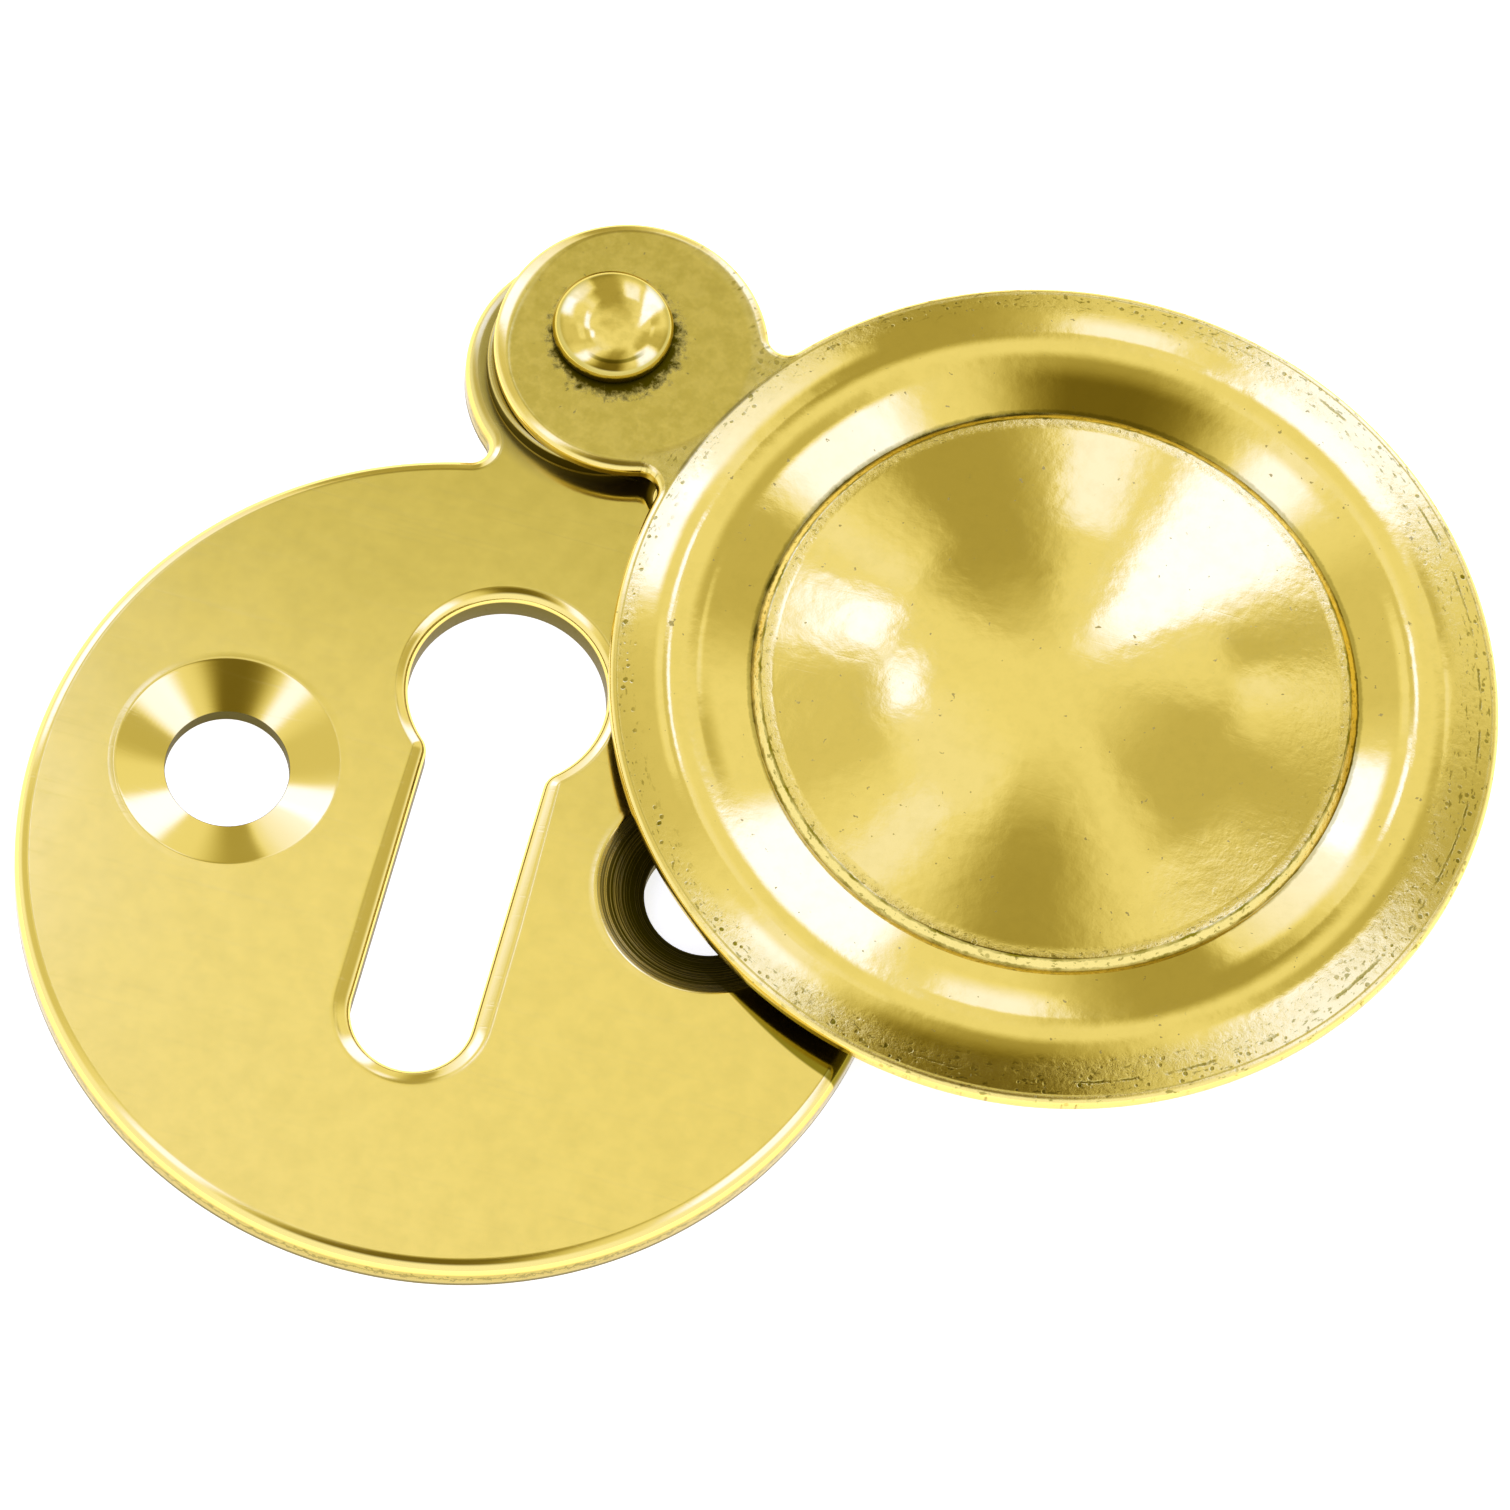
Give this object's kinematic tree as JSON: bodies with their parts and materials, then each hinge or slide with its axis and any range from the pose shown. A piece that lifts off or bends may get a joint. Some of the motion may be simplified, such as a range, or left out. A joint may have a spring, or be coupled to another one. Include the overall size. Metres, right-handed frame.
{
  "type": "keyhole escutcheon",
  "caption": "Round brass keyhole escutcheon with a moulded domed cover that swings aside on a riveted ear, and countersunk screw holes beside the keyhole.",
  "frame": {"origin": "the key's axis: the centre of the keyhole's round part, on the plate's back face", "axes": "+Z out of the front face, +Y from the keyhole towards the ear, +X to the right seen from the front; the part lies on its back"},
  "size_m": [0.0516, 0.0443, 0.004],
  "materials": {
    "plate_brass": "polished, with a soft haze and fine hand-polishing scratches",
    "cover_brass": "bright polished, with cast pits on the lip and dirt in the groove",
    "rivet_brass": "bright polished"
  },
  "bodies": {
    "base": {"base_plate": "plate_brass", "pivot_rivet": "rivet_brass"},
    "cover": {"swing_cover": "cover_brass"}
  },
  "joints": [
    {"name": "cover_swing", "type": "hinge", "parent": "base", "child": "cover", "pos_m": [0, 0.01448, 0.0027], "axis": [0, 0, 1], "continuous": true}
  ]
}
